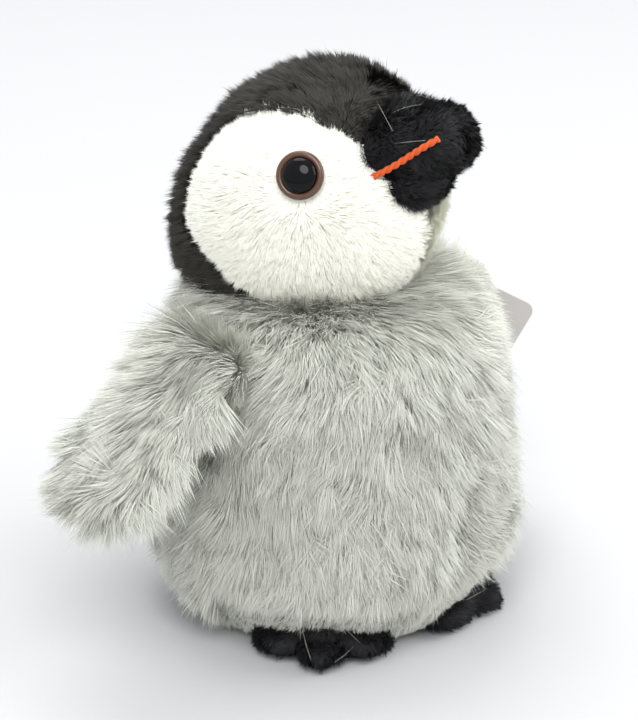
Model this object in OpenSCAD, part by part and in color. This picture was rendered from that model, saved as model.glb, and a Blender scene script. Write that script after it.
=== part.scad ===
// Plush penguin chick, sewn from pile fabric over fibre filling.
// The origin is the middle of the base on the surface it stands on.
// The penguin faces -Y, its left side is +X, and +Z is up.

/* [Body] */
// Radius of the flat base
base_r = 30; // [26:1:34]
// Largest radius of the belly
belly_r = 44.5; // [40:0.5:48]
// Height of the widest point of the belly
belly_z = 33; // [28:1:38]
// Radius of the body where the head is sewn on
neck_r = 30; // [27:0.5:32]
// Height of the neck seam
neck_z = 90; // [86:1:94]
// Thickness of the long-pile fabric, with the pile pressed flat
pile_t = 3; // [2:0.25:4]
// Radius of the pouch of pellets
pouch_r = 23; // [15:1:26]
// Height of the pouch of pellets
pouch_h = 15; // [8:1:18]

/* [Head] */
// Distance of the middle of the head behind the middle of the base
head_y = 9.5; // [6:0.5:12]
// Height of the middle of the head
head_z = 108.4; // [104:0.2:112]
// Half of the head's width
head_r = 31; // [28:0.5:33]
// Half of the head's length from crown to nape
head_half = 40; // [36:0.5:42]
// Lift of the head's long axis above the horizontal
head_tilt = 55.7; // [45:0.1:65]
// Turn of the head towards the penguin's left
head_turn = 23; // [0:1:30]
// Thickness of the short-pile fabric on the head
head_t = 2; // [1.5:0.25:3]
// Radius of the round back edge of the face
face_r = 27; // [24:0.5:29]
// Middle of that edge, behind and above the middle of the head
face_mid = [-5, 5]; // [-8:0.5:8]

/* [Beak] */
// Half width, half length and half height of the upper part of the beak
beak_upper = [13, 15, 9.8]; // [8:0.1:17]
// Its middle, from the middle of the head
beak_upper_at = [0, -31.3, 23.8]; // [-36:0.1:28]
// Half width, half length and half height of the lower part
beak_lower = [10.4, 12, 8.4]; // [7:0.1:14]
// Its middle, from the middle of the head
beak_lower_at = [0, -26.4, 14.7]; // [-30:0.1:18]
// Thickness of the beak's fabric
beak_t = 1.5; // [1:0.25:2]
// Thickness of the mouth's thread
thread_d = 1.9; // [1.2:0.1:2.4]
// Direction of the mouth line's inner end, from the middle of the upper part
mouth_in = [12.4, -0.8, -5.2]; // [-15:0.1:15]
// Direction of the mouth line's middle
mouth_mid = [11.6, -6.4, -0.6]; // [-15:0.1:15]
// Direction of the mouth line's outer end
mouth_out = [8.2, -12, 4.6]; // [-15:0.1:15]

/* [Eyes] */
// Diameter of the brown iris
iris_d = 12; // [9:0.5:14]
// Diameter of the black pupil
pupil_d = 8.8; // [6:0.2:10]
// Diameter of the shank behind the iris
shank_d = 3.4; // [2.5:0.1:4]
// Diameter of the lock washer
washer_d = 10; // [8:0.5:12]
// Height of an eye above the fabric, on the pile pressed flat under it
eye_lift = 1; // [0:0.25:2]
// Direction of the left eye from the middle of the head
eye_dir = [25.2, -13.6, 18.5]; // [-30:0.1:30]

/* [Flippers] */
// Distance of a shoulder hinge from the middle plane
shoulder_x = 41; // [40.5:0.1:43]
// Height of a shoulder hinge
shoulder_z = 84; // [82:0.5:86]
// Thickness of a flipper
flipper_t = 7; // [5:0.5:7]
// Radius of a flipper near the shoulder
flipper_root_r = 16; // [13:0.5:16]
// Radius of a flipper's tip
flipper_tip_r = 15; // [11:0.5:15]
// Length of a flipper from its hinge
flipper_len = 50; // [42:1:54]
// Angle of the right flipper from straight down
right_lift = 47; // [15:1:100]
// Angle of the left flipper from straight down
left_lift = 17; // [15:1:100]
// How far back the left flipper is set round the body
left_back = 20; // [10:1:25]

/* [Feet] */
// Thickness of a foot
foot_h = 8; // [6:0.5:9]
// Distance of a foot's middle from the middle of the base
foot_reach = 26; // [22:0.5:28]
// Turn of each foot outwards
foot_splay = 38; // [38:1:42]
// Radius of the middle toe
toe_mid_r = 6.5; // [5:0.5:7]
// Radius of each side toe
toe_side_r = 8.5; // [7:0.5:9]
// Thickness of the foot's fabric
foot_t = 1.2; // [1:0.1:1.5]

/* [Tag] */
// Width of the card
card_w = 36; // [30:1:44]
// Height of the card
card_h = 60; // [50:1:66]
// Thickness of the card
card_t = 0.6; // [0.4:0.1:1]
// Radius of the card's corners
card_corner = 3; // [1:0.5:5]
// Distance of the card's hole from both edges
hole_inset = 4; // [3.5:0.5:6]
// Place of the card's hole
tag_at = [52.7, 27.25, 72.35]; // [26:0.05:76]
// Direction that the card faces, turned from straight ahead
tag_facing = 150; // [145:1:155]
// Angle at which the card hangs from its corner
tag_hang = 28.3; // [15:0.1:35]
// Direction of the fastener outwards through the card, turned from straight ahead
line_facing = 110; // [105:1:115]

/* [Hidden] */
$fn = 48;

LEFT = 1;
RIGHT = -1;
gap = 0.15;          // slack between filling and fabric
neck_gap = 0.4;      // slack between body and head at the neck seam
shelf_gap = 0.3;     // slack between feet and the fabric round them
big = 200;
profile_steps = 10;
head_steps = 28;

// The body's outline is two cubic curves that meet at the belly.
belly_curve = [[base_r, 0], [base_r + 6, 0], [belly_r, 10], [belly_r, belly_z]];
chest_curve = [[belly_r, belly_z], [belly_r, 62], [40, neck_z - 4], [neck_r, neck_z]];

function unit(v) = v / norm(v);
function cubic(p, t) =
    pow(1 - t, 3) * p[0] + 3 * t * pow(1 - t, 2) * p[1] + 3 * t * t * (1 - t) * p[2] + pow(t, 3) * p[3];
function cubic_slope(p, t) =
    pow(1 - t, 2) * (p[1] - p[0]) + 2 * t * (1 - t) * (p[2] - p[1]) + t * t * (p[3] - p[2]);
function inset_point(p, t, depth) =
    let (s = unit(cubic_slope(p, t))) cubic(p, t) + depth * [-s[1], s[0]];
function body_outline(depth) = concat(
    [for (i = [0 : profile_steps - 1]) inset_point(belly_curve, i / profile_steps, depth)],
    [for (i = [0 : profile_steps]) inset_point(chest_curve, i / profile_steps, depth)]);
function reversed(list) = [for (i = [len(list) - 1 : -1 : 0]) list[i]];
function half_ellipse(r, h) =
    [for (i = [0 : head_steps]) let (a = 180 * i / head_steps - 90) [max(0, r * cos(a)), h * sin(a)]];

// ---- Body ----

module body_solid(depth = 0) {
    outline = body_outline(depth);
    top = outline[len(outline) - 1][1];
    bottom = outline[0][1];
    rotate_extrude() polygon(concat([[0, bottom]], outline, [[0, top]]));
}

module foot_outline(grow = 0) {
    translate([9 + toe_mid_r, 0]) circle(toe_mid_r + grow);
    for (s = [-1, 1]) translate([6.5, 9.8 * s]) circle(toe_side_r + grow);
    translate([-4, 0]) circle(12 + grow);
    translate([-4, -12 - grow]) square([19.5, 24 + 2 * grow]);
}

module at_foot(side) {
    rotate([0, 0, side * foot_splay]) translate([0, -foot_reach, 0]) rotate([0, 0, -90]) children();
}

// Room for both feet, as a prism of the height given
module feet_room(grow, height) {
    for (side = [LEFT, RIGHT])
        at_foot(side) translate([0, 0, -1]) linear_extrude(height + 1) foot_outline(grow);
}

module body_panel(start) {
    color("#c8cac2") difference() {
        rotate([0, 0, start]) rotate_extrude(angle = 90)
            polygon(concat(body_outline(0), reversed(body_outline(pile_t))));
        translate([-big / 2, -big / 2, -1]) cube([big, big, 1 + pile_t]);
        feet_room(shelf_gap + pile_t, foot_h + shelf_gap + pile_t);
    }
}

module front_left() { body_panel(-90); }
module front_right() { body_panel(180); }
module back_left() { body_panel(0); }
module back_right() { body_panel(90); }

module base() {
    color("#c8cac2") difference() {
        intersection() {
            body_solid();
            union() {
                translate([-big / 2, -big / 2, -1]) cube([big, big, 1 + pile_t]);
                feet_room(shelf_gap + pile_t, foot_h + shelf_gap + pile_t);
            }
        }
        feet_room(shelf_gap, foot_h + shelf_gap);
    }
}

module body_stuffing() {
    color("#f4f4f0") difference() {
        body_solid(pile_t + gap);
        translate([-big / 2, -big / 2, -1]) cube([big, big, 1 + pile_t + gap]);
        feet_room(shelf_gap + pile_t + gap, foot_h + shelf_gap + pile_t + gap);
        pouch(gap);
    }
}

module pouch(grow) {
    translate([0, 3, foot_h + pile_t + 4 + pouch_h / 2])
        rotate_extrude() polygon(half_ellipse(pouch_r + grow, pouch_h / 2 + grow));
}

module pellet_pouch() { color("#e6e2d6") pouch(0); }

// ---- Head ----

module on_head() { translate([0, head_y, head_z]) rotate([0, 0, head_turn]) children(); }

module head_egg(depth) {
    rotate([90 - head_tilt, 0, 0])
        rotate_extrude() polygon(half_ellipse(head_r - depth, head_half - depth));
}

module above_neck(extra = 0) {
    translate([-big / 2, -big / 2, neck_z + neck_gap + extra - head_z]) cube([big, big, big]);
}

module left_space() { translate([0, -big / 2, -big / 2]) cube(big); }

// The face's outline seen from the side, pushed right through the head
module face_prism() {
    rotate([90, 0, 90]) translate([0, 0, -big / 2]) linear_extrude(big) {
        translate(face_mid) circle(face_r);
        translate([-big, -big]) square([big + face_mid[0], big + face_mid[1] + face_r]);
    }
}

// Places on the head's egg: the surface point in a direction, and the normal there
head_axis = [0, -cos(head_tilt), sin(head_tilt)];
function egg_size(v) =
    let (along = v * head_axis, across = norm(v - along * head_axis))
    sqrt(pow(along / head_half, 2) + pow(across / head_r, 2));
function egg_point(v) = v / egg_size(v);
function egg_normal(v) =
    let (along = v * head_axis)
    unit((v - along * head_axis) / pow(head_r, 2) + along * head_axis / pow(head_half, 2));

module at_eye(side) {
    d = [side * eye_dir[0], eye_dir[1], eye_dir[2]];
    n = egg_normal(d);
    translate(egg_point(d)) rotate([0, acos(n[2]), atan2(n[1], n[0])]) children();
}

module head_shell() {
    intersection() {
        difference() {
            head_egg(0);
            head_egg(head_t);
        }
        above_neck();
    }
}

// The right half of the head mirrors the left one
module on_side(side) { mirror([side < 0 ? 1 : 0, 0, 0]) children(); }

module hood(side) {
    on_head() on_side(side) color("#2c2925") difference() {
        intersection() {
            head_shell();
            left_space();
        }
        face_prism();
    }
}

module face(side) {
    on_head() on_side(side) color("#f4f3ea") difference() {
        intersection() {
            head_shell();
            left_space();
            face_prism();
        }
        at_eye(LEFT) translate([0, 0, -6]) cylinder(h = 12, d = shank_d + 0.1);
    }
}

module hood_left() { hood(LEFT); }
module hood_right() { hood(RIGHT); }
module face_left() { face(LEFT); }
module face_right() { face(RIGHT); }

module head_stuffing() {
    on_head() color("#f4f4f0") difference() {
        intersection() {
            head_egg(head_t + gap);
            above_neck(gap);
        }
        for (side = [LEFT, RIGHT]) at_eye(side) {
            translate([0, 0, -10]) cylinder(h = 12, d = shank_d + 0.4);
            translate([0, 0, -4.7]) cylinder(h = 4.7, d = washer_d + 0.6);
        }
    }
}

// ---- Beak ----

// One rounded part of the beak, round the angle given about its own length
module lobe(size, depth, angle) {
    scale([for (s = size) s - depth]) rotate([90, 0, 0]) rotate([0, 0, -90])
        rotate_extrude(angle = angle) intersection() {
            circle(1);
            translate([0, -1]) square([1, 2]);
        }
}

module beak_solid(depth, angle = 360) {
    translate(beak_upper_at) lobe(beak_upper, depth, angle);
    translate(beak_lower_at) lobe(beak_lower, depth, angle);
}

module beak_half(side) {
    on_head() on_side(side) color("#141418") difference() {
        beak_solid(0, 180);
        beak_solid(beak_t);
        head_egg(-gap);
    }
}

module beak_left() { beak_half(LEFT); }
module beak_right() { beak_half(RIGHT); }

module beak_stuffing() {
    on_head() color("#f4f4f0") difference() {
        beak_solid(beak_t + gap);
        head_egg(-gap);
    }
}

// A point on the upper part's surface, in the direction given
function lobe_point(d) =
    beak_upper_at + d / norm([for (i = [0 : 2]) d[i] / beak_upper[i]]);
// The middle of the circle through three points
function circle_mid(a, b, c) =
    let (u = b - a, v = c - a, n = cross(u, v))
    a + ((v * v) * cross(n, u) + (u * u) * cross(v, n)) / (2 * (n * n));

module mouth_stitch(side) {
    a = lobe_point(mouth_in);
    b = lobe_point(mouth_mid);
    c = lobe_point(mouth_out);
    mid = circle_mid(a, b, c);
    x = unit(a - mid);
    z = unit(cross(b - a, c - a));
    y = cross(z, x);
    bend = atan2((c - mid) * y, (c - mid) * x);
    radius = norm(a - mid) + thread_d / 4;
    on_head() on_side(side) color("#e2541c")
        multmatrix([[x[0], y[0], z[0], mid[0]], [x[1], y[1], z[1], mid[1]], [x[2], y[2], z[2], mid[2]]]) {
            rotate_extrude(angle = bend) translate([radius, 0]) circle(d = thread_d, $fn = 24);
            for (t = [0, bend]) rotate([0, 0, t]) translate([radius, 0, 0])
                sphere(d = 1.25 * thread_d, $fn = 24);
        }
}

module mouth_stitch_left() { mouth_stitch(LEFT); }
module mouth_stitch_right() { mouth_stitch(RIGHT); }

// ---- Eyes ----

rim_h = 1.4;
socket_h = 0.6;

module iris(side) {
    on_head() at_eye(side) translate([0, 0, eye_lift]) color("#7a5440") difference() {
        union() {
            translate([0, 0, 0.1]) cylinder(h = 0.7, d = iris_d);
            translate([0, 0, 0.8]) cylinder(h = rim_h - 0.7, d1 = iris_d, d2 = iris_d - 1.6);
            translate([0, 0, -9]) cylinder(h = 9.5, d = shank_d);
        }
        translate([0, 0, rim_h - socket_h]) cylinder(h = 2, d = pupil_d);
    }
}

module pupil(side) {
    cap_h = 2.2;
    cap_r = (pow(pupil_d / 2, 2) + pow(cap_h, 2)) / (2 * cap_h);
    on_head() at_eye(side) color("#08080a") translate([0, 0, eye_lift + rim_h - socket_h]) intersection() {
        translate([0, 0, cap_h + socket_h - cap_r]) sphere(cap_r);
        cylinder(h = cap_h + socket_h, d = pupil_d - 0.02);
    }
}

module eye_washer(side) {
    on_head() at_eye(side) color("#e8e8e8") translate([0, 0, -3.85]) difference() {
        cylinder(h = 1.2, d = washer_d);
        translate([0, 0, -1]) cylinder(h = 4, d = shank_d + 0.02);
    }
}

module iris_left() { iris(LEFT); }
module iris_right() { iris(RIGHT); }
module pupil_left() { pupil(LEFT); }
module pupil_right() { pupil(RIGHT); }
module eye_washer_left() { eye_washer(LEFT); }
module eye_washer_right() { eye_washer(RIGHT); }

// ---- Flippers ----

root_mid = -6;       // how far the middle of a flipper sits in front, at its root
tip_mid = -7;        // and at its tip
root_w = 28;         // width of the rolled edge at the hinge

// A flipper's outline, with its length downwards from the hinge
module flipper_outline() {
    intersection() {
        hull() {
            translate([root_mid, -6]) circle(flipper_root_r, $fn = 64);
            translate([tip_mid, flipper_tip_r - flipper_len]) circle(flipper_tip_r, $fn = 64);
        }
        translate([-big / 2, -big]) square(big);
    }
}

module flipper_half(side, back, lift, outer) {
    half = flipper_t / 2;
    x0 = (side > 0) == outer ? 0 : -half;
    rotate([0, 0, side * back]) translate([side * shoulder_x, 0, shoulder_z]) rotate([0, -side * lift, 0]) {
        translate([x0, 0, 0]) rotate([90, 0, 90]) linear_extrude(half) flipper_outline();
        intersection() {
            translate([0, root_mid + root_w / 2, 0]) rotate([90, 0, 0]) cylinder(h = root_w, r = half);
            translate([x0, -big / 2, -0.01]) cube([half, big, big]);
        }
    }
}

// The left flipper also holds the tag's fastener
module left_flipper_half(outer) {
    color("#c8cac2") difference() {
        flipper_half(LEFT, left_back, left_lift, outer);
        tag_line(0.5);
        tag_bar(0.2);
    }
}

module flipper_left_outer() { left_flipper_half(true); }
module flipper_left_inner() { left_flipper_half(false); }
module flipper_right_outer() { color("#c8cac2") flipper_half(RIGHT, 0, right_lift, true); }
module flipper_right_inner() { color("#c8cac2") flipper_half(RIGHT, 0, right_lift, false); }

// ---- Feet ----

module foot_sole(side) { color("#101014") at_foot(side) linear_extrude(foot_t) foot_outline(); }

module foot_upper(side) {
    color("#101014") at_foot(side) difference() {
        translate([0, 0, foot_t]) linear_extrude(foot_h - foot_t) foot_outline();
        translate([0, 0, 0]) linear_extrude(foot_h - foot_t) foot_outline(-foot_t);
    }
}

module foot_stuffing(side) {
    color("#f4f4f0") at_foot(side) translate([0, 0, foot_t + gap])
        linear_extrude(foot_h - 2 * (foot_t + gap)) foot_outline(-foot_t - gap);
}

module foot_left_upper() { foot_upper(LEFT); }
module foot_left_sole() { foot_sole(LEFT); }
module foot_left_stuffing() { foot_stuffing(LEFT); }
module foot_right_upper() { foot_upper(RIGHT); }
module foot_right_sole() { foot_sole(RIGHT); }
module foot_right_stuffing() { foot_stuffing(RIGHT); }

// ---- Tag ----

line_len = 15;       // length of the fastener from the card to the middle of the flipper
hole_r = 1.6;

// The card's own frame: hole at the origin, +Y out of the face that looks backwards
module at_tag() { translate(tag_at) rotate([0, 0, tag_facing - 180]) children(); }

// The fastener's own frame: hole at the origin, +Y outwards along the line
module at_line() { translate(tag_at) rotate([0, 0, line_facing - 180]) children(); }

module tag_line(r) { at_line() rotate([90, 0, 0]) cylinder(h = line_len, r = r, $fn = 16); }

module tag_bar(grow) {
    at_line() translate([0, -line_len, -5]) cylinder(h = 10, r = 0.6 + grow, $fn = 16);
}

module tag_card() {
    w = card_w - 2 * card_corner;
    h = card_h - 2 * card_corner;
    color("#c3beba") at_tag() rotate([0, tag_hang, 0]) difference() {
        rotate([90, 0, 0]) translate([-hole_inset, hole_inset - card_h, -card_t / 2])
            linear_extrude(card_t) union() {
                translate([card_corner, 0]) square([w, card_h]);
                translate([0, card_corner]) square([card_w, h]);
                for (x = [0, 1], y = [0, 1])
                    translate([card_corner + x * w, card_corner + y * h]) circle(card_corner);
            }
        rotate([90, 0, 0]) translate([0, 0, -2]) cylinder(h = 4, r = hole_r);
    }
}

module tag_fastener() {
    color("#f2f2f2") {
        tag_line(0.4);
        tag_bar(0);
        at_line() rotate([-90, 0, 0]) translate([0, 0, -0.1]) cylinder(h = 3.4, r = 0.4, $fn = 16);
        at_line() translate([-2.5, 2.9, -1.5]) cube([5, 0.8, 3]);
    }
}

front_left();
front_right();
back_left();
back_right();
base();
body_stuffing();
pellet_pouch();
hood_left();
hood_right();
face_left();
face_right();
head_stuffing();
beak_left();
beak_right();
beak_stuffing();
mouth_stitch_left();
mouth_stitch_right();
iris_left();
iris_right();
pupil_left();
pupil_right();
eye_washer_left();
eye_washer_right();
flipper_left_outer();
flipper_left_inner();
flipper_right_outer();
flipper_right_inner();
foot_left_upper();
foot_left_sole();
foot_left_stuffing();
foot_right_upper();
foot_right_sole();
foot_right_stuffing();
tag_card();
tag_fastener();
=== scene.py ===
"""Plush penguin chick: pile fabric covers, eyes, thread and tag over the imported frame."""

import sys
import logging
import math
from collections.abc import Callable, Sequence
from dataclasses import dataclass, field
from enum import Enum

import bmesh
import bpy
import numpy as np
from mathutils import Matrix, Vector
from mathutils.bvhtree import BVHTree


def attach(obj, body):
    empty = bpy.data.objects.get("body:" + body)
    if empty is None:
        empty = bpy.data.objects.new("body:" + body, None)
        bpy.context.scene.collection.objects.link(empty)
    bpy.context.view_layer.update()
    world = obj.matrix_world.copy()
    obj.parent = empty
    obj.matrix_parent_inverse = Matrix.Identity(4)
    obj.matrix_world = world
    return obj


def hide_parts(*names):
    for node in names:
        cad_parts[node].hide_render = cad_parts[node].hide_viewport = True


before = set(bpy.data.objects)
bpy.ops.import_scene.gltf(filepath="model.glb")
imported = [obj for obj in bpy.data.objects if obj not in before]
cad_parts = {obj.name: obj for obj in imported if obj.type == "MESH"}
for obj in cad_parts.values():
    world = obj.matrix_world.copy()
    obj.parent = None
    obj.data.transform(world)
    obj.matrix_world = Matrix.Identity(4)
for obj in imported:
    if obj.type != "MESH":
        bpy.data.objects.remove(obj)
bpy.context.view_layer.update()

LOG = logging.getLogger("penguin")
MM = 0.001
Array = np.ndarray
Colour = tuple[float, float, float]


class Side(Enum):
    """The penguin's own left and right, as the sign of X."""

    LEFT = 1
    RIGHT = -1

    @property
    def word(self) -> str:
        """The side's name in piece names."""
        return self.name.lower()


# ---------------------------------------------------------------- vectors


def unit(v: Array) -> Array:
    """Rows of v scaled to length 1."""
    return v / np.maximum(np.linalg.norm(v, axis=-1, keepdims=True), 1e-9)


def dot(a: Array, b: Array) -> Array:
    """Row by row dot product, kept as a column."""
    return np.sum(a * b, axis=-1, keepdims=True)


def along_skin(v: Array, n: Array) -> Array:
    """The part of v that lies in the skin with normal n, as unit rows."""
    return unit(v - dot(v, n) * n)


def smooth(x: Array, low: float, high: float) -> Array:
    """Smooth step of x from 0 at low to 1 at high."""
    t = np.clip((x - low) / (high - low), 0.0, 1.0)
    return t * t * (3.0 - 2.0 * t)


class Waves:
    """A smooth seeded random field, made of sine waves about one length long."""

    def __init__(self, seed: int, size: float, count: int = 14) -> None:
        """Draw the waves.

        Args:
            seed: the random seed.
            size: typical distance between a crest and the next hollow, in mm.
            count: number of waves added up.
        """
        rng = np.random.default_rng(seed)
        self.k = rng.normal(size=(count, 3)) * (1.8 / size)
        self.phase = rng.uniform(0, 2 * math.pi, size=count)

    def __call__(self, p: Array) -> Array:
        """The field at the rows of p, mostly from -1 to 1."""
        return np.sin(p @ self.k.T + self.phase).sum(axis=1) / math.sqrt(len(self.phase)) / 1.1


def wave_vector(seed: int, size: float, p: Array) -> Array:
    """A smooth random vector at each row of p."""
    return np.stack([Waves(seed + i, size)(p) for i in range(3)], axis=1)


# ---------------------------------------------------------------- shader nodes


class Value:
    """One output socket, with arithmetic that adds Math nodes."""

    def __init__(self, nodes: "Nodes", socket: bpy.types.NodeSocket) -> None:
        """Wrap a socket of a node tree."""
        self.nodes, self.socket = nodes, socket

    def _math(self, operation: str, *values: object) -> "Value":
        """A Math node's result for these values."""
        return self.nodes.add("Math", {"operation": operation}, dict(enumerate(values))).out()

    def __add__(self, other: object) -> "Value":
        """self + other."""
        return self._math("ADD", self, other)

    def __radd__(self, other: object) -> "Value":
        """other + self."""
        return self._math("ADD", other, self)

    def __sub__(self, other: object) -> "Value":
        """self - other."""
        return self._math("SUBTRACT", self, other)

    def __rsub__(self, other: object) -> "Value":
        """other - self."""
        return self._math("SUBTRACT", other, self)

    def __mul__(self, other: object) -> "Value":
        """self times other."""
        return self._math("MULTIPLY", self, other)

    def __rmul__(self, other: object) -> "Value":
        """other times self."""
        return self._math("MULTIPLY", other, self)

    def power(self, other: object) -> "Value":
        """self to the power of other."""
        return self._math("POWER", self, other)


class Made:
    """A node that was just added."""

    def __init__(self, nodes: "Nodes", node: bpy.types.Node) -> None:
        """Wrap a node."""
        self.nodes, self.node = nodes, node

    def out(self, name: str | int = 0) -> Value:
        """One of the node's outputs."""
        return Value(self.nodes, self.node.outputs[name])


class Nodes:
    """A material's node tree."""

    def __init__(self, name: str) -> None:
        """Start a material with an empty tree."""
        self.material = bpy.data.materials.new(name)
        self.material.use_nodes = True
        self.tree = self.material.node_tree
        self.tree.nodes.clear()

    def add(self, kind: str, settings: dict[str, object], inputs: dict[str | int, object]) -> Made:
        """Add a node.

        Args:
            kind: the node's type, without its ShaderNode prefix.
            settings: properties to set first; "stops" gives a ramp's (place, colour) pairs.
            inputs: socket values or links, by name or number.

        Returns:
            The new node.
        """
        node = self.tree.nodes.new("ShaderNode" + kind)
        for key, value in settings.items():
            if key == "stops":
                ramp = node.color_ramp
                while len(ramp.elements) < len(value):
                    ramp.elements.new(1.0)
                for element, (place, colour) in zip(ramp.elements, value):
                    element.position, element.color = place, (*colour, 1.0)
            else:
                setattr(node, key, value)
        for key, value in inputs.items():
            if isinstance(value, Value):
                self.tree.links.new(value.socket, node.inputs[key])
            else:
                node.inputs[key].default_value = value
        return Made(self, node)

    def place(self) -> Value:
        """The object's own coordinates."""
        return self.add("TexCoord", {}, {}).out("Object")

    def noise(self, scale: float, detail: float = 3.0) -> Value:
        """Noise on the object's own coordinates; scale is in waves a metre."""
        return self.add(
            "TexNoise", {}, {"Vector": self.place(), "Scale": scale, "Detail": detail}
        ).out(0)

    def mix(self, factor: Value, a: Colour, b: Colour) -> Value:
        """A blend of two colours."""
        inputs = {"Factor": factor, 6: (*a, 1.0), 7: (*b, 1.0)}
        return self.add("Mix", {"data_type": "RGBA"}, inputs).out(2)

    def bump(self, height: Value, strength: float, depth: float) -> Value:
        """A normal from a height; depth is in metres."""
        return self.add(
            "Bump", {}, {"Height": height, "Strength": strength, "Distance": depth}
        ).out(0)

    def finish(self, inputs: dict[str | int, object]) -> bpy.types.Material:
        """Close the tree with a Principled shader that has these inputs."""
        shader = self.add("BsdfPrincipled", {}, inputs)
        self.add("OutputMaterial", {}, {"Surface": shader.out(0)})
        return self.material


@dataclass(frozen=True)
class Fibres:
    """The shades of one pile fabric's fibres, from the darkest to the palest."""

    name: str
    dark: Colour
    pale: Colour
    shades: int = 7
    roughness: float = 0.62
    sheen: float = 0.25

    def materials(self) -> list[bpy.types.Material]:
        """One plain material for each shade."""
        made = []
        for i in range(self.shades):
            t = i / (self.shades - 1)
            colour = [a + (b - a) * t for a, b in zip(self.dark, self.pale)]
            made.append(
                Nodes(f"{self.name}_{i + 1}").finish(
                    {
                        "Base Color": (*colour, 1.0),
                        "Roughness": self.roughness,
                        "Specular IOR Level": 0.25,
                        "Sheen Weight": self.sheen,
                        "Sheen Roughness": 0.5,
                    }
                )
            )
        return made


@dataclass(frozen=True)
class Backing:
    """The knitted cloth that a pile stands on."""

    name: str
    colour: Colour

    def material(self) -> bpy.types.Material:
        """Cloth with a fine knit and a mottled colour."""
        nodes = Nodes(self.name)
        dark = tuple(0.75 * c for c in self.colour)
        knit = nodes.add("TexVoronoi", {}, {"Vector": nodes.place(), "Scale": 1400.0}).out(0)
        return nodes.finish(
            {
                "Base Color": nodes.mix(nodes.noise(300.0), dark, self.colour),
                "Roughness": 0.9,
                "Sheen Weight": 0.3,
                "Normal": nodes.bump(knit, 0.5, 0.0003),
            }
        )


@dataclass(frozen=True)
class Plastic:
    """Moulded plastic with a faint swirl."""

    name: str
    colour: Colour
    swirl: Colour
    roughness: float
    coat: float = 0.0
    gloss: float = 0.4

    def material(self) -> bpy.types.Material:
        """Smooth plastic with slight colour variation."""
        nodes = Nodes(self.name)
        marks = nodes.noise(900.0, 4.0)
        return nodes.finish(
            {
                "Base Color": nodes.mix(nodes.noise(260.0), self.colour, self.swirl),
                "Roughness": self.roughness + 0.06 * marks,
                "Coat Weight": self.coat,
                "Coat Roughness": 0.03,
                "Specular IOR Level": self.gloss,
            }
        )


@dataclass(frozen=True)
class Card:
    """Matt printed card, left plain."""

    name: str
    colour: Colour

    def material(self) -> bpy.types.Material:
        """Card with a faint fibre grain."""
        nodes = Nodes(self.name)
        edge = tuple(0.93 * c for c in self.colour)
        grain = nodes.noise(2500.0, 5.0)
        return nodes.finish(
            {
                "Base Color": nodes.mix(nodes.noise(120.0), edge, self.colour),
                "Roughness": 0.5 + 0.1 * grain,
                "Normal": nodes.bump(grain, 0.15, 0.0001),
            }
        )


@dataclass(frozen=True)
class Yarn:
    """Embroidery thread."""

    name: str
    colour: Colour
    shade: Colour

    def material(self) -> bpy.types.Material:
        """Thread with fine fibres."""
        nodes = Nodes(self.name)
        fibre = nodes.noise(4200.0, 6.0)
        return nodes.finish(
            {
                "Base Color": nodes.mix(fibre, self.shade, self.colour),
                "Roughness": 0.8,
                "Sheen Weight": 0.1,
                "Normal": nodes.bump(fibre, 0.6, 0.0002),
            }
        )


@dataclass(frozen=True)
class Ground:
    """The floor that the penguin stands on."""

    colour: Colour

    def material(self) -> bpy.types.Material:
        """A matt floor with a very faint mottle."""
        nodes = Nodes("floor")
        dark = tuple(0.985 * c for c in self.colour)
        return nodes.finish(
            {"Base Color": nodes.mix(nodes.noise(8.0), dark, self.colour), "Roughness": 0.8}
        )


# ---------------------------------------------------------------- skins


@dataclass
class Skin:
    """A cover's surface as triangles, in mm."""

    points: Array
    normals: Array
    triangles: Array

    @classmethod
    def of(cls, obj: bpy.types.Object) -> "Skin":
        """Read an object's finished surface."""
        mesh = obj.evaluated_get(bpy.context.evaluated_depsgraph_get()).to_mesh()
        mesh.calc_loop_triangles()
        points = np.empty(len(mesh.vertices) * 3)
        normals = np.empty_like(points)
        triangles = np.empty(len(mesh.loop_triangles) * 3, dtype=np.int32)
        mesh.vertices.foreach_get("co", points)
        mesh.vertices.foreach_get("normal", normals)
        mesh.loop_triangles.foreach_get("vertices", triangles)
        skin = cls(
            points.reshape(-1, 3) / MM, normals.reshape(-1, 3), triangles.reshape(-1, 3)
        )
        obj.evaluated_get(bpy.context.evaluated_depsgraph_get()).to_mesh_clear()
        return skin

    def roots(self, per_mm2: float, rng: np.random.Generator) -> tuple[Array, Array]:
        """Random places all over the skin.

        Args:
            per_mm2: number of places for each square millimetre.
            rng: the random source.

        Returns:
            The places and the skin's normals there.
        """
        a, b, c = (self.points[self.triangles[:, i]] for i in range(3))
        area = np.cumsum(np.linalg.norm(np.cross(b - a, c - a), axis=1) / 2)
        count = int(area[-1] * per_mm2)
        pick = np.searchsorted(area, (np.arange(count) + rng.random(count)) / count * area[-1])
        pick = np.minimum(pick, len(area) - 1)
        u, v = rng.random((2, count, 1))
        flip = u + v > 1
        u, v = np.where(flip, 1 - u, u), np.where(flip, 1 - v, v)
        place = a[pick] + u * (b - a)[pick] + v * (c - a)[pick]
        na, nb, nc = (self.normals[self.triangles[pick, i]] for i in range(3))
        return place, unit(na * (1 - u - v) + nb * u + nc * v)


def mesh_object(name: str, mesh: bpy.types.Mesh) -> bpy.types.Object:
    """A new object for a mesh, in the scene."""
    obj = bpy.data.objects.new(name, mesh)
    bpy.context.scene.collection.objects.link(obj)
    return obj


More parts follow.
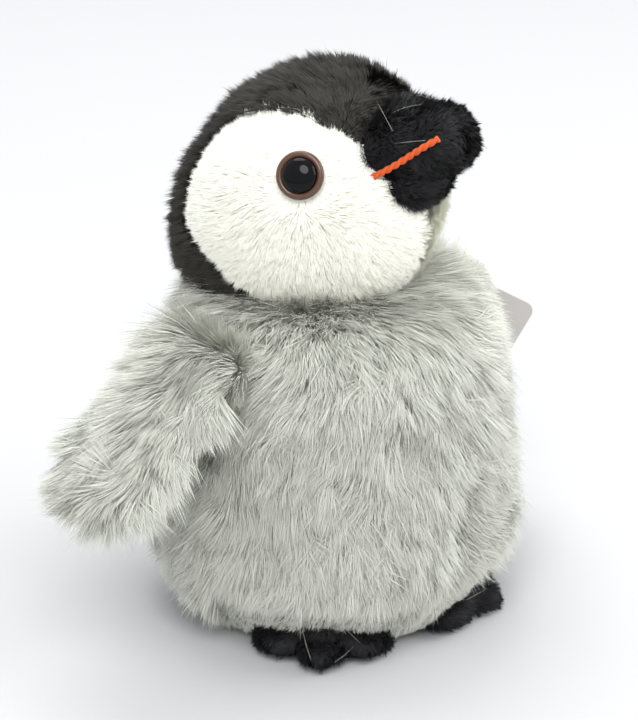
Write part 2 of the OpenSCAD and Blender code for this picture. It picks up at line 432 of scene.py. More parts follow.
def from_bmesh(name: str, bm: bmesh.types.BMesh) -> bpy.types.Object:
    """Turn a bmesh in mm into an object in metres with its faces outwards.

    Args:
        name: the new object's name.
        bm: the shape, which is used up.

    Returns:
        The new object.
    """
    bmesh.ops.remove_doubles(bm, verts=bm.verts, dist=1e-4)
    bmesh.ops.recalc_face_normals(bm, faces=bm.faces)
    bmesh.ops.scale(bm, vec=(MM, MM, MM), verts=bm.verts)
    for face in bm.faces:
        face.smooth = True
    mesh = bpy.data.meshes.new(name)
    bm.to_mesh(mesh)
    bm.free()
    return mesh_object(name, mesh)


def lathe(profile: Sequence[tuple[float, float]], steps: int) -> bmesh.types.BMesh:
    """Spin a profile about Z.

    Args:
        profile: (radius, height) pairs in mm, from one end to the other.
        steps: number of steps in the full turn.

    Returns:
        The spun shape, closed where the profile meets the axis.
    """
    bm = bmesh.new()
    verts = [bm.verts.new((r, 0.0, z)) for r, z in profile]
    edges = [bm.edges.new(pair) for pair in zip(verts, verts[1:])]
    bmesh.ops.spin(
        bm,
        geom=verts + edges,
        cent=(0, 0, 0),
        axis=(0, 0, 1),
        angle=2 * math.pi,
        steps=steps,
        use_merge=True,
    )
    bmesh.ops.remove_doubles(bm, verts=bm.verts, dist=1e-4)
    return bm


def ball(bm: bmesh.types.BMesh, middle: Sequence[float], radii: Sequence[float]) -> None:
    """Add an ellipsoid to a bmesh."""
    matrix = Matrix.Translation(middle) @ Matrix.Diagonal((*radii, 1.0))
    bmesh.ops.create_icosphere(bm, subdivisions=4, radius=1.0, matrix=matrix)


def coords(mesh: bpy.types.Mesh) -> Array:
    """A mesh's points in mm."""
    flat = np.empty(len(mesh.vertices) * 3)
    mesh.vertices.foreach_get("co", flat)
    return flat.reshape(-1, 3) / MM


def lifted(p: Array, floor: float) -> Array:
    """Points with none of them below a height."""
    return np.column_stack([p[:, :2], np.maximum(p[:, 2], floor)])


def set_coords(mesh: bpy.types.Mesh, points: Array) -> None:
    """Move a mesh's points, given in mm."""
    mesh.vertices.foreach_set("co", (points * MM).ravel())
    mesh.update()


def apply_modifiers(obj: bpy.types.Object) -> None:
    """Put an object's modifiers into its mesh."""
    old = obj.data
    depsgraph = bpy.context.evaluated_depsgraph_get()
    mesh = bpy.data.meshes.new_from_object(obj.evaluated_get(depsgraph))
    obj.modifiers.clear()
    obj.data = mesh
    mesh.name = obj.name
    bpy.data.meshes.remove(old)
    for polygon in mesh.polygons:
        polygon.use_smooth = True


@dataclass(frozen=True)
class Stuffing:
    """How a sewn cover swells when it is filled."""

    voxel: float = 4.0
    cap: float = 2.0
    pressure: float = 4.0
    frames: int = 20
    levels: int = 1
    evening: int = 4

    def fill(self, obj: bpy.types.Object, keep: Callable[[Array], Array]) -> None:
        """Swell a closed cover with a cloth simulation and leave it smooth.

        Args:
            obj: the cover, which gets a new mesh.
            keep: puts points that went too far back, such as those below the floor.
        """
        remesh = obj.modifiers.new("even", "REMESH")
        remesh.mode, remesh.voxel_size = "VOXEL", self.voxel * MM
        apply_modifiers(obj)
        before = coords(obj.data)
        scene = bpy.context.scene
        cloth = obj.modifiers.new("filling", "CLOTH")
        cloth.settings.quality = 6
        cloth.settings.use_pressure = True
        cloth.settings.uniform_pressure_force = self.pressure
        cloth.settings.effector_weights.gravity = 0.0
        cloth.point_cache.frame_end = self.frames
        for number in range(1, self.frames + 1):
            scene.frame_set(number)
        depsgraph = bpy.context.evaluated_depsgraph_get()
        swollen = obj.evaluated_get(depsgraph).to_mesh()
        after = coords(swollen)
        obj.evaluated_get(depsgraph).to_mesh_clear()
        obj.modifiers.clear()
        scene.frame_set(1)
        move = after - before
        far = np.linalg.norm(move, axis=1, keepdims=True)
        LOG.info("%s swells %.2f mm at most", obj.name, far.max())
        before = before + move * np.minimum(1.0, self.cap / np.maximum(far, 1e-9))
        set_coords(obj.data, keep(before))
        even = obj.modifiers.new("smooth", "SMOOTH")
        even.iterations, even.factor = self.evening, 0.5
        finer = obj.modifiers.new("finer", "SUBSURF")
        finer.levels = finer.render_levels = self.levels
        apply_modifiers(obj)


# ---------------------------------------------------------------- pile


@dataclass(frozen=True)
class Pile:
    """One pile fabric's fibres, in mm and degrees."""

    fibres: Fibres
    length: float
    width: float
    per_mm2: float
    lock: float
    gather: float
    lift: float
    fall: float
    stray: float
    roll: float = 14.0
    root_shade: float = 0.0
    tip_shade: float = 1.0
    mottle: float = 0.2
    soft: float = 0.6


@dataclass
class Comb:
    """How the pile lies at each root."""

    way: Array
    keep: Array
    length: Array
    lift: Array
    shade: Array

    @classmethod
    def plain(cls, way: Array) -> "Comb":
        """A comb with only directions, and nothing else changed."""
        one = np.ones(len(way))
        return cls(way, np.ones(len(way), dtype=bool), one, one.copy(), 0.0 * one)


class Strand:
    """One fibre as a narrow blade, from which every fibre of a pile is copied."""

    def __init__(self, segments: int) -> None:
        """Make the blade from a strip whose far end comes to a point.

        Args:
            segments: number of segments along the blade.
        """
        bm = bmesh.new()
        bmesh.ops.create_grid(bm, x_segments=1, y_segments=segments, size=1.0)
        tips = [v for v in bm.verts if v.co.y > 0.99]
        bmesh.ops.pointmerge(bm, verts=tips, merge_co=(0.0, 1.0, 0.0))
        bmesh.ops.recalc_face_normals(bm, faces=bm.faces)
        bm.verts.index_update()
        self.across = np.array([v.co.x for v in bm.verts])
        self.along = np.array([(v.co.y + 1) / 2 for v in bm.verts])
        faces = sorted(bm.faces, key=lambda f: f.calc_center_median().y)
        up = [f.normal.z > 0 for f in faces]
        self.faces = [
            [v.index for v in (f.verts if good else reversed(f.verts))]
            for f, good in zip(faces, up)
        ]
        bm.free()

    @property
    def triangles(self) -> int:
        """Triangles in one blade."""
        return sum(len(f) - 2 for f in self.faces)


BLADE = Strand(2)
TRIANGLE_LIMIT = 175_500  # most triangles in one piece of pile
SHEAR = 57.0  # how far in front of the middle or behind it a fibre may reach, in mm
FLOOR_GAP = 0.1  # lowest that a fibre may reach, in mm over the floor
CELL_PRIMES = (73856093, 19349663, 83492791)  # spread the cells of a grid over one key


class Planter:
    """Plants a pile's fibres at the roots it is given."""

    def __init__(self, pile: Pile, seed: int, blade: Strand = BLADE) -> None:
        """Keep the pile and its random source."""
        self.pile, self.seed, self.blade = pile, seed, blade
        self.rng = np.random.default_rng(seed)

    def locks(self, roots: Array) -> tuple[Array, int]:
        """Sort roots into locks of fibres that lean together.

        Returns:
            Each root's lock, and the number of locks.
        """
        size = self.pile.lock
        bent = roots + wave_vector(self.seed + 50, size * 2.2, roots) * size * 0.7
        x, y, z = (np.floor(bent / size).astype(np.int64) * CELL_PRIMES).T
        key = x ^ y ^ z
        _, lock = np.unique(key, return_inverse=True)
        return lock, int(lock.max()) + 1

    def plant(
        self,
        name: str,
        roots: Array,
        normals: Array,
        comb: Comb,
        clear: Callable[[Array], Array] | None = None,
    ) -> bpy.types.Object:
        """Make one piece of pile.

        Args:
            name: the piece's name.
            roots: where the fibres stand, in mm.
            normals: the skin's normals there.
            comb: how the pile lies.
            clear: moves points out of what the pile mustn't enter; the roots stay put.

        Returns:
            The new piece.
        """
        pile, rng, blade = self.pile, self.rng, self.blade
        kept = comb.keep
        roots, normals, way = roots[kept], normals[kept], comb.way[kept]
        longer, lift, shade = comb.length[kept], comb.lift[kept], comb.shade[kept]
        most = TRIANGLE_LIMIT // blade.triangles
        if len(roots) > most:
            LOG.info("%s: %d fibres thinned to %d", name, len(roots), most)
            pick = np.sort(rng.permutation(len(roots))[:most])
            roots, normals, way = roots[pick], normals[pick], way[pick]
            longer, lift, shade = longer[pick], lift[pick], shade[pick]
        count = len(roots)
        lock, locks = self.locks(roots)
        lean = rng.normal(size=(locks, 3)) * math.tan(math.radians(pile.stray))
        own = rng.normal(size=(count, 3)) * math.tan(math.radians(pile.stray * 0.6))
        way = along_skin(way + lean[lock] + own, normals)
        rise = np.radians(pile.lift * lift * (1 + 0.18 * rng.normal(size=locks)[lock]))
        rise = np.clip(rise + 0.1 * rng.normal(size=count), 0.08, 1.5)[:, None]
        more = rise - np.radians(pile.lift * lift)[:, None]
        fall = np.radians(pile.fall * lift)[:, None] + 0.5 * more
        size = pile.length * longer * (1 + 0.1 * rng.normal(size=locks)[lock])
        size = (size * np.clip(1 + 0.14 * rng.normal(size=count), 0.5, 1.5))[:, None]
        start = np.cos(rise) * way + np.sin(rise) * normals
        end = np.cos(fall) * way + np.sin(fall) * normals
        tip = roots + size * (start + 0.5 * (end - start))
        heads = np.stack([np.bincount(lock, tip[:, i], locks) for i in range(3)], axis=1)
        heads /= np.bincount(lock, minlength=locks)[:, None]
        pull = (heads[lock] - tip) * (pile.gather * np.clip(longer, 0, 1))[:, None]
        turn = np.radians(pile.roll) * rng.normal(size=(count, 1))
        side = unit(np.cross(start, normals))
        side = np.cos(turn) * side + np.sin(turn) * unit(np.cross(side, start))
        half = 0.5 * pile.width * np.clip(1 + 0.25 * rng.normal(size=(count, 1)), 0.5, 1.6)
        points = np.empty((count, len(blade.along), 3))
        for i, (t, u) in enumerate(zip(blade.along, blade.across)):
            spot = roots + size * (t * start + 0.5 * t * t * (end - start)) + t * t * pull
            points[:, i] = spot + side * (u * half * (1 - 0.45 * t * t))
        flat = points.reshape(-1, 3)
        if clear:
            free = np.tile(np.clip(1.7 * blade.along, 0, 1), count)[:, None]
            flat = flat + (clear(flat) - flat) * free
        flat[:, 1] = np.clip(flat[:, 1], -SHEAR, SHEAR)
        flat[:, 2] = np.maximum(flat[:, 2], FLOOR_GAP)
        bend = unit(np.cross(side, start) * (1 - pile.soft) + normals * pile.soft)
        return self.build(name, flat, lock, locks, shade, roots, bend)

    def build(
        self,
        name: str,
        flat: Array,
        lock: Array,
        locks: int,
        shade: Array,
        roots: Array,
        bend: Array,
    ) -> bpy.types.Object:
        """Turn planted points into a mesh whose faces have the pile's shades.

        Args:
            name: the piece's name.
            flat: the blades' points.
            lock: each fibre's lock.
            locks: number of locks.
            shade: how much paler each fibre is.
            roots: where the fibres stand.
            bend: the shading normal of each fibre.

        Returns:
            The new piece.
        """
        pile, rng, blade = self.pile, self.rng, self.blade
        count, verts = len(shade), len(blade.along)
        mesh = bpy.data.meshes.new(name)
        pattern = np.concatenate([np.array(f) for f in blade.faces])
        corners = np.array([len(f) for f in blade.faces])
        loops = (np.arange(count)[:, None] * verts + pattern[None, :]).ravel()
        starts = np.concatenate([[0], np.cumsum(np.tile(corners, count))[:-1]])
        mesh.vertices.add(count * verts)
        mesh.vertices.foreach_set("co", (flat * MM).ravel())
        mesh.loops.add(len(loops))
        mesh.loops.foreach_set("vertex_index", loops.astype(np.int32))
        mesh.polygons.add(len(starts))
        mesh.polygons.foreach_set("loop_start", starts.astype(np.int32))
        tone = shade + pile.mottle * rng.normal(size=locks)[lock] * 0.45
        tone = tone + pile.mottle * Waves(self.seed + 90, 6.0)(roots) * 0.7
        tone = tone + 0.6 * pile.mottle * rng.normal(size=count)
        steps = len(blade.faces)
        rung = np.linspace(pile.root_shade, pile.tip_shade, steps)
        index = (tone[:, None] + rung[None, :]) * (pile.fibres.shades - 1)
        index = np.clip(np.rint(index), 0, pile.fibres.shades - 1).astype(np.int32)
        for material in pile.fibres.materials():
            mesh.materials.append(material)
        mesh.polygons.foreach_set("material_index", index.ravel())
        mesh.polygons.foreach_set("use_smooth", np.ones(len(starts), dtype=bool))
        mesh.update(calc_edges=True)
        mesh.validate()
        mesh.normals_split_custom_set_from_vertices(np.repeat(bend, verts, axis=0).tolist())
        LOG.info("%s: %d fibres, %d triangles", name, count, count * blade.triangles)
        return mesh_object(name, mesh)


# ---------------------------------------------------------------- finishes

GREY = Fibres("grey_fibre", (0.36, 0.365, 0.322), (0.63, 0.635, 0.572), sheen=0.12)
BROWN_BLACK = Fibres("dark_fibre", (0.003, 0.0027, 0.0022), (0.044, 0.041, 0.033), sheen=0.0)
WHITE = Fibres("white_fibre", (0.92, 0.915, 0.825), (0.96, 0.955, 0.865), shades=4, sheen=0.05)
BLACK = Fibres("black_fibre", (0.003, 0.003, 0.0035), (0.018, 0.018, 0.020), sheen=0.06)
GREY_BACKING = Backing("grey_backing", (0.34, 0.35, 0.32))
BLACK_BACKING = Backing("black_backing", (0.008, 0.008, 0.010))

LONG = Pile(
    GREY,
    length=10.8,
    width=0.22,
    per_mm2=11.5,
    lock=1.9,
    gather=0.14,
    lift=42.0,
    fall=20.0,
    stray=14.0,
    root_shade=0.10,
    tip_shade=0.80,
    mottle=0.15,
)
CROWN = Pile(
    BROWN_BLACK,
    length=5.2,
    width=0.22,
    per_mm2=17.0,
    lock=1.6,
    gather=0.2,
    lift=58.0,
    fall=42.0,
    stray=12.0,
    soft=0.7,
    mottle=0.24,
    root_shade=0.0,
    tip_shade=0.75,
)
CHEEK = Pile(
    WHITE,
    length=4.0,
    width=0.21,
    per_mm2=24.0,
    lock=1.2,
    gather=0.05,
    lift=42.0,
    fall=24.0,
    stray=7.0,
    roll=8.0,
    soft=0.9,
    root_shade=0.5,
    tip_shade=1.0,
    mottle=0.1,
)
VELVET = Pile(
    BLACK,
    length=2.6,
    width=0.26,
    per_mm2=15.0,
    lock=1.0,
    gather=0.12,
    lift=60.0,
    fall=46.0,
    stray=14.0,
    soft=0.7,
    root_shade=0.1,
    tip_shade=0.7,
)
LINT = Pile(
    GREY,
    length=8.0,
    width=0.11,
    per_mm2=0.007,
    lock=4.0,
    gather=0.0,
    lift=16.0,
    fall=-6.0,
    stray=50.0,
    root_shade=0.1,
    tip_shade=0.4,
)


def lint(name: str, skin: Skin, seed: int, body: str) -> None:
    """Catch a few loose pale fibres on a black pile."""
    planter = Planter(LINT, seed)
    roots, normals = skin.roots(LINT.per_mm2, planter.rng)
    comb = Comb.plain(along_skin(wave_vector(seed, 9.0, roots), normals))
    comb.keep = roots[:, 2] > 3.0
    piece = planter.plant(name, roots + 1.8 * normals, normals, comb)
    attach(piece, body)


# ---------------------------------------------------------------- torso


@dataclass
class Feet:
    """Both three-toed feet, sewn flat under the body; sizes in mm."""

    reach: float = 26.0
    splay: float = 38.0
    height: float = 8.0
    instep: float = 4.8
    sole: float = 0.3
    pads: tuple[tuple[float, float, float], ...] = (
        (15.5, 0.0, 6.5),
        (7.5, 9.8, 8.8),
        (7.5, -9.8, 8.8),
        (-4.0, 0.0, 12.0),
        (5.0, 0.0, 11.5),
    )

    def middle(self, side: Side) -> tuple[Array, Array, Array]:
        """A foot's middle on the floor, its way forward and its way left."""
        turn = math.radians(self.splay)
        ahead = np.array([side.value * math.sin(turn), -math.cos(turn), 0.0])
        across = np.array([-ahead[1], ahead[0], 0.0])
        return ahead * self.reach, ahead, across

    def inside(self, p: Array, side: Side, grow: float) -> Array:
        """How far each point is inside a foot's outline, negative outside."""
        origin, ahead, across = self.middle(side)
        f, s = (p - origin) @ ahead, (p - origin) @ across
        deep = [r + grow - np.hypot(f - a, s - b) for a, b, r in self.pads]
        return np.max(deep, axis=0)

    def room(self, p: Array, length: float) -> Array:
        """How long a fibre may be, as a share of length, to stop over a foot's edge."""
        out = np.hypot(p[:, 0], p[:, 1])
        edge = self.height + self.instep + 0.7 + 0.62 * (out - 41.0)
        share = np.maximum((p[:, 2] - edge) / 1.1, 2.4) / length
        over = np.max([self.inside(p, side, 11.0) for side in Side], axis=0)
        return np.where(share < 1.5, share + (1.5 - share) * (1 - smooth(over, 0.0, 5.0)), 1.5)

    def cover(self, side: Side) -> bpy.types.Object:
        """One foot's filled cover."""
        origin, ahead, across = self.middle(side)
        bm = bmesh.new()
        for a, b, r in self.pads:
            spot = origin + a * ahead + b * across
            deep = self.height - 1.6 + (self.instep if r > 10 else 0.0)
            matrix = Matrix.Translation((spot[0], spot[1], deep / 2 + 0.8))
            bmesh.ops.create_cone(
                bm,
                cap_ends=True,
                segments=40,
                radius1=r - 1.2,
                radius2=r - 1.6,
                depth=deep,
                matrix=matrix,
            )
        foot = from_bmesh(f"foot_{side.word}_cover", bm)
        filling = Stuffing(voxel=1.6, cap=1.0, evening=8)
        filling.fill(foot, lambda p: lifted(p, self.sole))
        foot.data.materials.append(BLACK_BACKING.material())
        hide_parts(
            f"foot_{side.word}_upper",
            f"foot_{side.word}_sole",
            f"foot_{side.word}_stuffing",
        )
        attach(foot, "torso")
        return foot

    def build(self) -> None:
        """Make both feet and their pile."""
        for seed, side in enumerate(Side):
            foot = self.cover(side)
            planter = Planter(VELVET, 700 + seed)
            skin = Skin.of(foot)
            lint(f"foot_{side.word}_lint", skin, 740 + seed, "torso")
            roots, normals = skin.roots(VELVET.per_mm2, planter.rng)
            origin, ahead, _ = self.middle(side)
            way = ahead + 0.5 * unit(roots - origin) + np.array([0, 0, -0.3])
            comb = Comb.plain(along_skin(way, normals))
            under = smooth(-normals[:, 2], 0.3, 0.8)
            comb.length = 1 - 0.6 * under
            comb.lift = 1 - 0.8 * under
            pile = planter.plant(
                f"foot_{side.word}_pile",
                roots,
                normals,
                comb,
                lambda p: lifted(p, FLOOR_GAP),
            )
            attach(pile, "torso")


@dataclass
class Body:
    """The filled body with its long grey pile; sizes in mm."""

    feet: Feet
    neck_z: float = 90.0
    belly: tuple[tuple[float, float], ...] = ((30, 0), (36, 0), (44.5, 10), (44.5, 33))
    chest: tuple[tuple[float, float], ...] = ((44.5, 33), (44.5, 62), (40, 86), (30, 90))
    neck_at: tuple[float, float, float] = (0.0, 9.5, 0.0)
    neck_hidden: float = 21.0
    crease_angle: float = 10.0
    crease_slant: float = 0.10
    crease_z: float = 45.0

    @staticmethod
    def cubic(p: Sequence[tuple[float, float]], t: float) -> tuple[float, float]:
        """A point of a cubic curve."""
        w = ((1 - t) ** 3, 3 * t * (1 - t) ** 2, 3 * t * t * (1 - t), t**3)
        return tuple(sum(a * q[i] for a, q in zip(w, p)) for i in range(2))

    def profile(self) -> list[tuple[float, float]]:
        """The body's outline from the base to the neck."""
        lower = [self.cubic(self.belly, i / 14) for i in range(14)]
        upper = [self.cubic(self.chest, i / 22) for i in range(23)]
        base = [(r, 0.0) for r in (0.0, 6.0, 12.0, 18.0, 24.0)]
        top = [(r, self.neck_z) for r in (24.0, 18.0, 12.0, 6.0, 0.0)]
        return base + lower + upper + top

    def crease(self, p: Array) -> Array:
        """How near each point is to the crease low on the front, from 0 to 1."""
        angle = np.degrees(np.arctan2(p[:, 0], -p[:, 1]))
        bent = self.crease_angle + self.crease_slant * (p[:, 2] - self.crease_z)
        near = np.exp(-(((angle - bent) / 5.5) ** 2)) * (p[:, 1] < 0)
        return near * smooth(p[:, 2], 14, 24) * (1 - smooth(p[:, 2], 44, 54))

    def settle(self, p: Array) -> Array:
        """Keep the base flat, the neck level, and sew the creases in."""
        p = p.copy()
        out = unit(p * np.array([1.0, 1.0, 0.0]))
        dent = 1.8 * self.crease(p) + 0.5 * Waves(41, 26.0)(p) * smooth(p[:, 2], 4, 14)
        p -= out * dent[:, None]
        p[:, 2] = np.clip(p[:, 2], 0.0, self.neck_z)
        return p

    def cover(self) -> bpy.types.Object:
        """The body's filled cover."""
        body = from_bmesh("body_cover", lathe(self.profile(), 96))
        Stuffing(voxel=4.0, cap=1.2).fill(body, self.settle)
        body.data.materials.append(GREY_BACKING.material())
        panels = ("front_left", "front_right", "back_left", "back_right", "base")
        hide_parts(*panels, "body_stuffing")
        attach(body, "torso")
        return body

    def comb(self, p: Array, n: Array) -> Comb:
        """How the body's pile lies: down and outwards, parted at the crease."""
        angle = np.arctan2(p[:, 0], -p[:, 1])
        round_body = unit(np.stack([-p[:, 1], p[:, 0], 0 * angle], axis=1))
        way = np.tile(np.array([0.0, 0.0, -1.0]), (len(p), 1))
        way = way + 0.30 * np.sin(angle)[:, None] * round_body
        way = way + 0.40 * wave_vector(11, 17.0, p) + 0.42 * wave_vector(17, 6.0, p)
        slant = self.crease_slant * (p[:, 2] - self.crease_z)
        beside = np.degrees(angle) - self.crease_angle - slant
        part = np.exp(-((beside / 11) ** 2)) * smooth(p[:, 2], 12, 24)
        part = part * (1 - smooth(p[:, 2], 46, 60)) * (p[:, 1] < 0) * np.sign(beside)
        way = way + 0.8 * part[:, None] * round_body
        top = smooth(n[:, 2], 0.35, 0.85)[:, None]
        out = unit((p - np.array(self.neck_at)) * np.array([1.0, 1.0, 0.0]))
        way = way * (1 - top) + out * top
        under = smooth(-n[:, 2], 0.55, 0.9)
        way = way * (1 - under[:, None]) + out * under[:, None]
        comb = Comb.plain(along_skin(way, n))
        neck = smooth(p[:, 2], 78, 90)
        comb.lift = 1 - 0.25 * top[:, 0] - 0.15 * neck + 0.28 * Waves(23, 9.0)(p)
        comb.lift = comb.lift * (1 - 0.7 * under) * (1 - 0.35 * self.crease(p))
        low = 1 - smooth(p[:, 2], 2, 26)
        comb.length = (1 - 0.6 * under) * (1 + 0.05 * top[:, 0]) * (1 - 0.5 * low)
        comb.lift *= 1 - 0.35 * low
        # Painted shade: the fibres are darker along the sewn crease, where shade falls. Painted
        # light: they are paler near the neck, to lift the shadow under the chin.
        comb.shade = -0.30 * self.crease(p) + 0.85 * neck
        from_neck = np.hypot(p[:, 0], p[:, 1] - self.neck_at[1])
        hidden = (from_neck < self.neck_hidden) & (n[:, 2] > 0.7)
        for side in Side:
            hidden |= (self.feet.inside(p, side, -0.5) > 0) & (p[:, 2] < self.feet.height + 2.0)
        comb.length = np.minimum(comb.length, self.feet.room(p, LONG.length))
        comb.keep = ~hidden
        return comb

    def build(self) -> None:
        """Make the body's cover and the pile of each panel."""
        skin = Skin.of(self.cover())
        rng = np.random.default_rng(5)
        roots, normals = skin.roots(LONG.per_mm2, rng)
        comb = self.comb(roots, normals)
        front, left = roots[:, 1] < 0, roots[:, 0] > 0
        panels = {
            "front_left": front & left,
            "front_right": front & ~left,
            "back_left": ~front & left,
            "back_right": ~front & ~left,
        }
        for seed, (name, mine) in enumerate(panels.items()):
            part = Comb(comb.way, comb.keep & mine, comb.length, comb.lift, comb.shade)
            clear = TagSide().keep if name == "back_left" else None
            pile = Planter(LONG, 100 + seed).plant(f"{name}_pile", roots, normals, part, clear)
            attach(pile, "torso")


# ---------------------------------------------------------------- head


@dataclass
class Head:
    """The egg-shaped head with its hood, face and beak; sizes in mm, from its middle."""

    middle: tuple[float, float, float] = (0.0, 9.5, 108.4)
    turn: float = 23.0
    tilt: float = 55.7
    radius: float = 31.0
    half_length: float = 40.0
    neck: float = 90.4
    face_middle: tuple[float, float] = (-5.0, 5.0)
    face_radius: float = 25.8
    face_top: float = 30.5
    bridge: tuple[float, float] = (9.5, 24.0)
    nape: tuple[float, float] = (-12.5, 0.6)
    eye: tuple[float, float, float] = (25.2, -13.6, 18.5)
    matrix: Matrix = field(init=False)

    def __post_init__(self) -> None:
        """Work out the head's own frame."""
        self.matrix = Matrix.Translation(self.middle) @ Matrix.Rotation(
            math.radians(self.turn), 4, "Z"
        )

    @property
    def axis(self) -> Array:
        """The egg's long axis in the head's own frame."""
        t = math.radians(self.tilt)
        return np.array([0.0, -math.cos(t), math.sin(t)])

    def local(self, p: Array) -> Array:
        """Points in the head's own frame."""
        m = np.array(self.matrix.inverted())
        return p @ m[:3, :3].T + m[:3, 3]

    def local_way(self, v: Array) -> Array:
        """Directions in the head's own frame."""
        return v @ np.array(self.matrix.inverted())[:3, :3].T

    def world_way(self, v: Array) -> Array:
        """Directions from the head's own frame."""
        return v @ np.array(self.matrix)[:3, :3].T

    def on_face(self, q: Array) -> Array:
        """True where a point in the head's own frame is on the white face."""
        y, z = q[:, 1] - self.face_middle[0], q[:, 2] - self.face_middle[1]
        white = (np.hypot(y, z) < self.face_radius) | ((y < 0) & (q[:, 2] < self.brow(q)))
        bridge = (np.abs(q[:, 0]) < self.bridge[0]) & (q[:, 2] > self.bridge[1]) & (y < 0)
        nape = q[:, 2] < self.nape[0] + self.nape[1] * q[:, 1]
        return white & ~bridge & ~nape

    def brow(self, q: Array) -> Array:
        """Height of the seam over the eyes, which slopes down to the beak."""
        return self.face_top - 0.35 * np.clip(-q[:, 1] - 10.0, 0.0, 20.0)

    def eye_frame(self, side: Side) -> Matrix:
        """An eye's frame, with its origin on the egg and Z outwards."""
        d = np.array(self.eye) * np.array([side.value, 1, 1])
        axis = self.axis
        along = d @ axis
        across = d - along * axis
        size = math.hypot(along / self.half_length, np.linalg.norm(across) / self.radius)
        normal = across / self.radius**2 + along * axis / self.half_length**2
        turn = Vector((0, 0, 1)).rotation_difference(Vector(normal)).to_matrix().to_4x4()
        return self.matrix @ Matrix.Translation(Vector(d / size)) @ turn

    def keep_up(self, p: Array) -> Array:
        """Keep the head's underside level, just above the neck seam."""
        return lifted(p, self.neck)

    def cover(self) -> Skin:
        """The hood's and the face's filled covers.

        Returns:
            The whole head's skin.
        """
        bm = bmesh.new()
        bmesh.ops.create_icosphere(
            bm,
            subdivisions=5,
            radius=1.0,
            matrix=self.matrix
            @ Matrix.Rotation(math.radians(90 - self.tilt), 4, "X")
            @ Matrix.Diagonal((self.radius, self.radius, self.half_length, 1.0)),
        )
        cut = bmesh.ops.bisect_plane(
            bm,
            geom=bm.verts[:] + bm.edges[:] + bm.faces[:],
            plane_co=(0, 0, self.neck),
            plane_no=(0, 0, 1),
            clear_inner=True,
        )
        rim = [e for e in cut["geom_cut"] if isinstance(e, bmesh.types.BMEdge)]
        bmesh.ops.holes_fill(bm, edges=rim, sides=0)
        head = from_bmesh("hood_cover", bm)
        Stuffing(voxel=4.0, cap=0.8, levels=2).fill(head, self.keep_up)
        skin = Skin.of(head)
        face = mesh_object("face_cover", head.data.copy())
        for obj, white in ((head, False), (face, True)):
            bm = bmesh.new()
            bm.from_mesh(obj.data)
            spots = np.array([f.calc_center_median()[:] for f in bm.faces]) / MM
            mine = self.on_face(self.local(spots)) == white
            drop = [f for f, good in zip(bm.faces[:], mine) if not good]
            bmesh.ops.delete(bm, geom=drop, context="FACES")
            bm.to_mesh(obj.data)
            bm.free()
            wall = obj.modifiers.new("cloth", "SOLIDIFY")
            wall.thickness, wall.offset = 1.2 * MM, -1.0
            apply_modifiers(obj)
        head.data.materials.append(Backing("dark_backing", (0.012, 0.011, 0.009)).material())
        face.data.materials.append(Backing("white_backing", (0.88, 0.87, 0.82)).material())
        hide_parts("hood_left", "hood_right", "head_stuffing")
        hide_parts("face_left", "face_right")
        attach(head, "head")
        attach(face, "head")
        return skin

    def eye_gap(self, p: Array) -> tuple[Array, Array]:
        """Distance of each point from the nearer eye's axis, and the way out from it."""
        best = np.full(len(p), 1e3)
        way = np.zeros_like(p)
        for side in Side:
            frame_of = self.eye_frame(side)
            origin, axis = np.array(frame_of.translation), np.array(frame_of.col[2][:3])
            off = p - origin
            flat = off - (off @ axis)[:, None] * axis
            gap = np.linalg.norm(flat, axis=1) + 1e3 * (np.abs(off @ axis) > 15)
            nearer = gap < best
            best = np.where(nearer, gap, best)
            way = np.where(nearer[:, None], flat, way)
        return best, unit(way)

    def build(self, beak: "Beak") -> None:
        """Make the head's covers and pile."""
        skin = self.cover()
        for part, pile, seed in (("hood", CROWN, 300), ("face", CHEEK, 400)):
            rng = np.random.default_rng(seed)
            roots, normals = skin.roots(pile.per_mm2, rng)
            q = self.local(roots)
            if part == "hood":
                comb = self.hood_comb(roots, normals, q)
            else:
                comb = self.face_comb(roots, normals, q)
            white = self.on_face(q)
            comb.keep = (white == (part == "face")) & (roots[:, 2] > self.neck + 0.2)
            beside = beak.gap(q)
            comb.keep &= beside > 1.2
            comb.length *= 1 - 0.5 * (1 - smooth(beside, 1.5, 6.0))
            comb.lift *= 1 - 0.4 * (1 - smooth(beside, 1.5, 6.0))
            gap, way = self.eye_gap(roots)
            comb.keep &= gap > 5.6
            near = 1 - smooth(gap, 5.5, 9.0)
            around = comb.way * (1 - near)[:, None] + 2 * near[:, None] * way
            comb.way = along_skin(around, normals)
            comb.length *= 1 - 0.45 * near
            comb.lift *= 1 - 0.5 * near
            for side in Side:
                mine = q[:, 0] * side.value > 0
                half = Comb(comb.way, comb.keep & mine, comb.length, comb.lift, comb.shade)
                piece = Planter(pile, seed + side.value).plant(
                    f"{part}_{side.word}_pile", roots, normals, half
                )
                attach(piece, "head")

    def hood_comb(self, p: Array, n: Array, q: Array) -> Comb:
        """The hood's pile runs back over the crown and down the nape."""
        way = np.stack([0.25 * q[:, 0], 22 + 0 * q[:, 1], -6 + 0 * q[:, 2]], axis=1)
        way[:, 2] -= 16 * smooth(q[:, 1], 0, 25)
        ahead = smooth(-q[:, 1], 14, 22)[:, None]
        way = way * (1 - ahead) + np.array([0.0, -12.0, -14.0]) * ahead
        way = self.world_way(way / 22) + 0.5 * wave_vector(31, 8.0, p)
        comb = Comb.plain(along_skin(way, n))
        comb.length = 1 - 0.3 * smooth(-q[:, 1], 2, 18)
        comb.lift = 1 + 0.2 * Waves(33, 9.0)(p) + 0.2 * smooth(-q[:, 1], 4, 20)
        comb.shade = 0.05 * Waves(35, 20.0)(p)
        return comb

